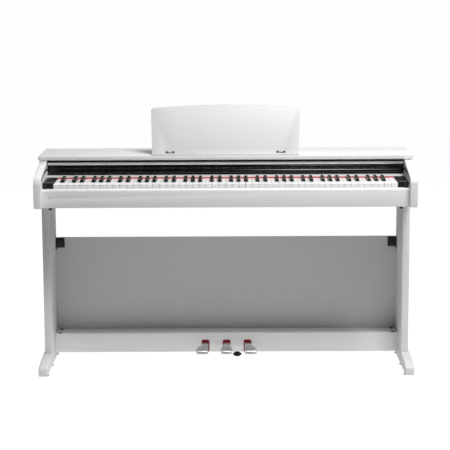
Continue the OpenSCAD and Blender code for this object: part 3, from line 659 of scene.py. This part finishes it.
def allScrews():
    low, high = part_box("rear_cover")
    edge = rows["edge"] * mm
    rear = [(x, high.y, z) for x in spread(low.x + edge, high.x - edge, rows["cover"])
            for z in (low.z + edge, high.z - edge)]
    screws("rearCoverScrews", rear, (0, 1, 0), zinc)
    low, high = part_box("back_panel")
    rear = [(x, high.y, low.z + edge)
            for x in spread(low.x + 3 * edge, high.x - 3 * edge, rows["panel"])]
    screws("panelScrews", rear, (0, 1, 0), zinc, 0.9)
    low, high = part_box("corner_brackets")
    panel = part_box("back_panel")
    front = panel[0].y - rows["bracketProud"] * mm
    side = panel[1].x - rows["bracketIn"] * mm
    places = [(s * side, front, panel[1].z - down * mm) for s in (-1, 1) for down in rows["bracketDown"]]
    screws("bracketScrews", places, (0, -1, 0), mouldBlack, 1.1)
    places = [(s * (panel[1].x - rows["seatIn"] * mm), low.y + rows["seatBack"] * mm,
               high.z - rows["seatDown"] * mm) for s in (-1, 1)]
    screws("seatScrews", places, (0, 0, -1), zinc)
    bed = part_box("key_bed")
    end, inward = rows["bedEnd"] * mm, rows["bedSide"] * mm
    places = [(x, y, bed[0].z) for x in spread(bed[0].x + end, bed[1].x - end, rows["bed"])
              for y in (bed[0].y + inward, bed[1].y - inward)]
    screws("bedScrews", places, (0, 0, -1), zinc)
    for side in ("left", "right"):
        low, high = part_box(side + "_foot")
        inward = rows["footIn"] * mm
        places = [((low.x + high.x) / 2, y, low.z) for y in (low.y + inward, high.y - inward)]
        screws(side + "FootScrews", places, (0, 0, -1), zinc)


allScrews()

# sockets in the rear cover
socketRing = dict(rim=3.2, proud=1.2, deep=6, wall=0.3, inset=92, up=60, inlet=2.75, phones=3.2,
                  inside=0.4, outside=0.8, steps=36)


def sockets():
    low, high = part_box("rear_cover")
    inset = socketRing["inset"] * mm
    proud, deep, wall = (socketRing[key] * mm for key in ("proud", "deep", "wall"))
    inside, outside = (socketRing[key] * mm for key in ("inside", "outside"))
    for name, x, bore, finish, slot in (
            ("powerInlet", low.x + inset, socketRing["inlet"], mouldBlack, "black_plastic"),
            ("phonesSocket", high.x - inset, socketRing["phones"], zinc, "steel")):
        inner, outer = bore * mm, (bore + socketRing["rim"]) * mm
        ring = turned([(inner, -deep), (inner, proud * 0.7), (inner + inside, proud),
                       (outer - outside, proud), (outer, proud * 0.4), (outer, 0), (inner + wall, 0),
                       (inner + wall, -deep), (inner, -deep)], socketRing["steps"])
        facing(ring, (x, high.y, low.z + socketRing["up"] * mm), (0, 1, 0))
        piece(ring, name, "cabinet", finish, smooth=40)


sockets()

# dark channels in the cheek grooves: painted shade
shadeLiner = dict(wide=5.8, deep=5.9, wall=0.15, over=0.7, steps=28)


# a dark channel inside each groove, round the hub that the cover slides about, painting the shade down in the
# groove
def grooveShadeLiners():
    hub = Vector(joints["cover_slide"]["pos_m"])
    low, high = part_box("cover_shoes")
    reach = (low + high) / 2 - hub
    radius = (reach.y ** 2 + reach.z ** 2) ** 0.5
    back = atan2(reach.y, reach.z) + radians(shadeLiner["over"])
    sweep = radians(joints["cover_slide"]["range_deg"][1] + 2 * shadeLiner["over"])
    half = shadeLiner["wide"] / 2 * mm
    for side, face, sign in (("left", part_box("left_cheek")[1].x, -1),
                             ("right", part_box("right_cheek")[0].x, 1)):
        floor = face + sign * shadeLiner["deep"] * mm
        bm = bmesh.new()
        line = [bm.verts.new((x, hub.y, hub.z + radius + h))
                for x, h in ((face, -half), (floor, -half), (floor, half), (face, half))]
        edges = [bm.edges.new(pair) for pair in zip(line, line[1:])]
        bmesh.ops.rotate(bm, cent=hub, matrix=Matrix.Rotation(-back, 3, "X"), verts=line)
        bmesh.ops.spin(bm, geom=line + edges, cent=hub, axis=(1, 0, 0), angle=sweep,
                       steps=shadeLiner["steps"], use_merge=False, use_duplicate=False)
        bmesh.ops.recalc_face_normals(bm, faces=bm.faces)
        bmesh.ops.solidify(bm, geom=bm.faces[:], thickness=shadeLiner["wall"] * mm)
        bmesh.ops.recalc_face_normals(bm, faces=bm.faces)
        piece(bm, side + "GrooveShade", "cabinet", mouldBlack)


grooveShadeLiners()

# black sleeves round the music rest's hinges: partly the hinge itself, partly painted shade that darkens the pale
# lugs in the hinge notches
sleeve = dict(inner=4.2, outer=4.8, long=14, rounding=0.25, inset=15)


def hingeShadeSleeves():
    low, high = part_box("rest_hinges")
    axis = Vector(joints["rest_fold"]["pos_m"])
    inner, outer, rounding, inset = (sleeve[key] * mm for key in ("inner", "outer", "rounding", "inset"))
    half = sleeve["long"] / 2 * mm
    sleeves = []
    for x in (low.x + inset, high.x - inset):
        tube = turned([(inner, -half), (outer - rounding, -half), (outer, rounding - half),
                       (outer, half - rounding), (outer - rounding, half), (inner, half),
                       (inner, -half)], 28)
        facing(tube, (x, axis.y, axis.z), (1, 0, 0))
        sleeves.append(tube)
    piece(gather(sleeves), "hingeShadeSleeves", "rest", mouldBlack)


hingeShadeSleeves()
print("trim made")

# the floor and the backdrop are what is seen; the sweep just under the floor throws light back up
studio = dict(world=0.012, sweep=(4.4, 3.4), sweepGlow=0.54, sweepPaint=0.3, sweepDrop=0.6,
              reach=118, domeRadius=60, floorGlow=0.985, floorPaint=0.10, floorDrop=0.1)

lamps = {
    "keyHigh": dict(place=(1.0, -1.5, 3.8), size=(1.4, 1.0), power=88),
    "keyFront": dict(place=(1.35, -1.95, 3.5), size=(1.4, 1.0), power=68),
    "rear": dict(place=(0.0, 2.3, 2.8), size=(3.0, 1.0), power=36),
}


def areaLight(name, place, size, power, aim=(0, 0, 0.6)):
    data = bpy.data.lights.new(name, "AREA")
    data.shape = "RECTANGLE"
    data.size, data.size_y = size
    data.energy = power
    made = bpy.data.objects.new(name, data)
    bpy.context.scene.collection.objects.link(made)
    made.location = place
    made.rotation_euler = (Vector(aim) - Vector(place)).to_track_quat("-Z", "Y").to_euler()


def staged(bm, name, paint, glow):
    mesh = bpy.data.meshes.new(name)
    bm.to_mesh(mesh)
    bm.free()
    white = Finish(name + "Paint", (paint,) * 3, 0.9, Specular_IOR_Level=0.0,
                   Emission_Color=(1, 1, 1, 1), Emission_Strength=glow)
    mesh.materials.append(white.material)
    made = bpy.data.objects.new(name, mesh)
    bpy.context.scene.collection.objects.link(made)
    return made


def sheet(size, height):
    bm = bmesh.new()
    bmesh.ops.create_grid(bm, x_segments=2, y_segments=2, size=0.5)
    bmesh.ops.scale(bm, vec=(*size, 1), verts=bm.verts)
    bmesh.ops.translate(bm, verts=bm.verts, vec=(0, 0, height))
    return bm


def dome():
    bm = bmesh.new()
    bmesh.ops.create_icosphere(bm, subdivisions=4, radius=studio["domeRadius"])
    return bm


def setStage():
    sweep = staged(sheet(studio["sweep"], -studio["sweepDrop"] * mm), "sweep", studio["sweepPaint"],
                   studio["sweepGlow"])
    sweep.visible_camera = False
    floor = staged(sheet((studio["reach"],) * 2, -studio["floorDrop"] * mm), "floor",
                   studio["floorPaint"], studio["floorGlow"])
    backdrop = staged(dome(), "backdrop", 0, studio["floorGlow"])
    for seen in (floor, backdrop):
        seen.visible_diffuse = False
        seen.visible_glossy = False
        seen.visible_shadow = False

    world = bpy.data.worlds.new("studio")
    world.use_nodes = True
    sky = world.node_tree.nodes["Background"].inputs
    sky["Color"].default_value = (1, 1, 1, 1)
    sky["Strength"].default_value = studio["world"]
    bpy.context.scene.world = world
    bpy.context.scene.view_settings.view_transform = "Standard"
    for name, lamp in lamps.items():
        areaLight(name, **lamp)


setStage()

view = dict(place=(0.0152, -5.5252, 1.4578), down=9.479, left=0.190, roll=-0.282, lens=121.54,
            sensor=36, far=1000)


def setCamera():
    data = bpy.data.cameras.new("camera")
    data.sensor_width = view["sensor"]
    data.lens = view["lens"]
    data.clip_end = view["far"]
    camera = bpy.data.objects.new("camera", data)
    bpy.context.scene.collection.objects.link(camera)
    aim = (Matrix.Rotation(radians(view["left"]), 4, "Z")
           @ Matrix.Rotation(radians(90 - view["down"]), 4, "X")
           @ Matrix.Rotation(radians(view["roll"]), 4, "Z"))
    camera.matrix_world = Matrix.Translation(view["place"]) @ aim
    bpy.context.scene.camera = camera


setCamera()
print("stage and camera set")
